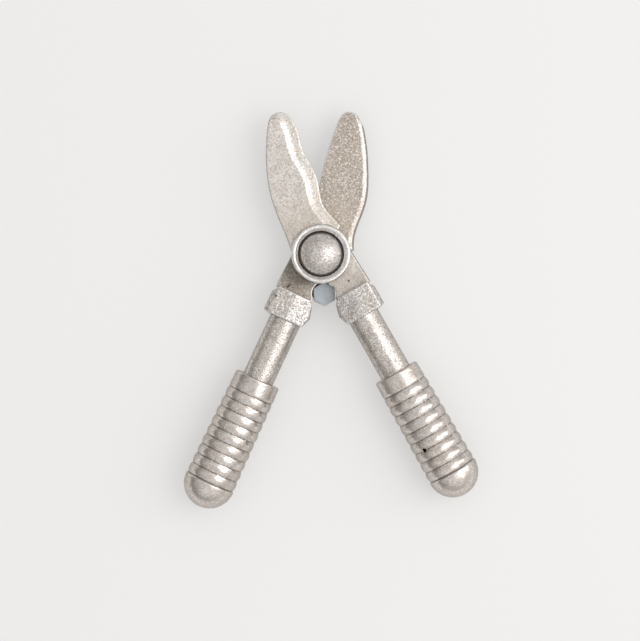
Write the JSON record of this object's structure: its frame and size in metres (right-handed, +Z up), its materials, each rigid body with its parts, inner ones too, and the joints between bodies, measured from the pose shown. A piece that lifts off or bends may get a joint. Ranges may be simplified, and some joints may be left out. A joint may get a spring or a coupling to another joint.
{
  "type": "pruning shears",
  "caption": "All-metal bypass pruning shears: curved hook blade over a leaf blade, domed pivot bolt in a cup washer, rubber stop, faceted ferrules and ribbed round-ended grips.",
  "frame": {"origin": "on the pivot axis, at the outer face of the pivot nut, which rests on the bench together with the round ends of the two grips", "axes": "+X to the right handle's side, +Y along the middle line from the handles to the blades, +Z up through the domed bolt head, away from the bench"},
  "size_m": [0.1867, 0.249, 0.0326],
  "materials": {
    "forged_steel": "warm silver with a fine cast grain, worn bright on raised edges",
    "cast_grip": "warm silver casting with a fine grain, bright on the ribs",
    "pivot_steel": "satin silver, grainy, bright rim",
    "plated_steel": "dull plated",
    "bronze": "plain machined bronze",
    "bumper_rubber": "matt blue-grey",
    "lock_nylon": "natural nylon"
  },
  "bodies": {
    "hook_arm": {"hook_blade": "forged_steel", "cup_washer": "pivot_steel", "pivot_bolt": "pivot_steel", "back_washer": "plated_steel", "disc_spring": "plated_steel", "pivot_nut": "plated_steel", "nut_lock_insert": "lock_nylon", "stop_pin": "plated_steel", "right_ferrule": "cast_grip", "right_ferrule_screw": "plated_steel", "right_shaft": "cast_grip", "right_grip": "cast_grip", "right_grip_pin": "plated_steel"},
    "leaf_arm": {"cutting_blade": "forged_steel", "pivot_bush": "bronze", "thrust_washer": "bronze", "bumper": "bumper_rubber", "left_ferrule": "cast_grip", "left_ferrule_screw": "plated_steel", "left_shaft": "cast_grip", "left_grip": "cast_grip", "left_grip_pin": "plated_steel"}
  },
  "joints": [
    {"name": "pivot", "type": "hinge", "parent": "hook_arm", "child": "leaf_arm", "pos_m": [0, 0, 0.0163], "axis": [0, 0, 1], "range_deg": [-38, 25]}
  ]
}
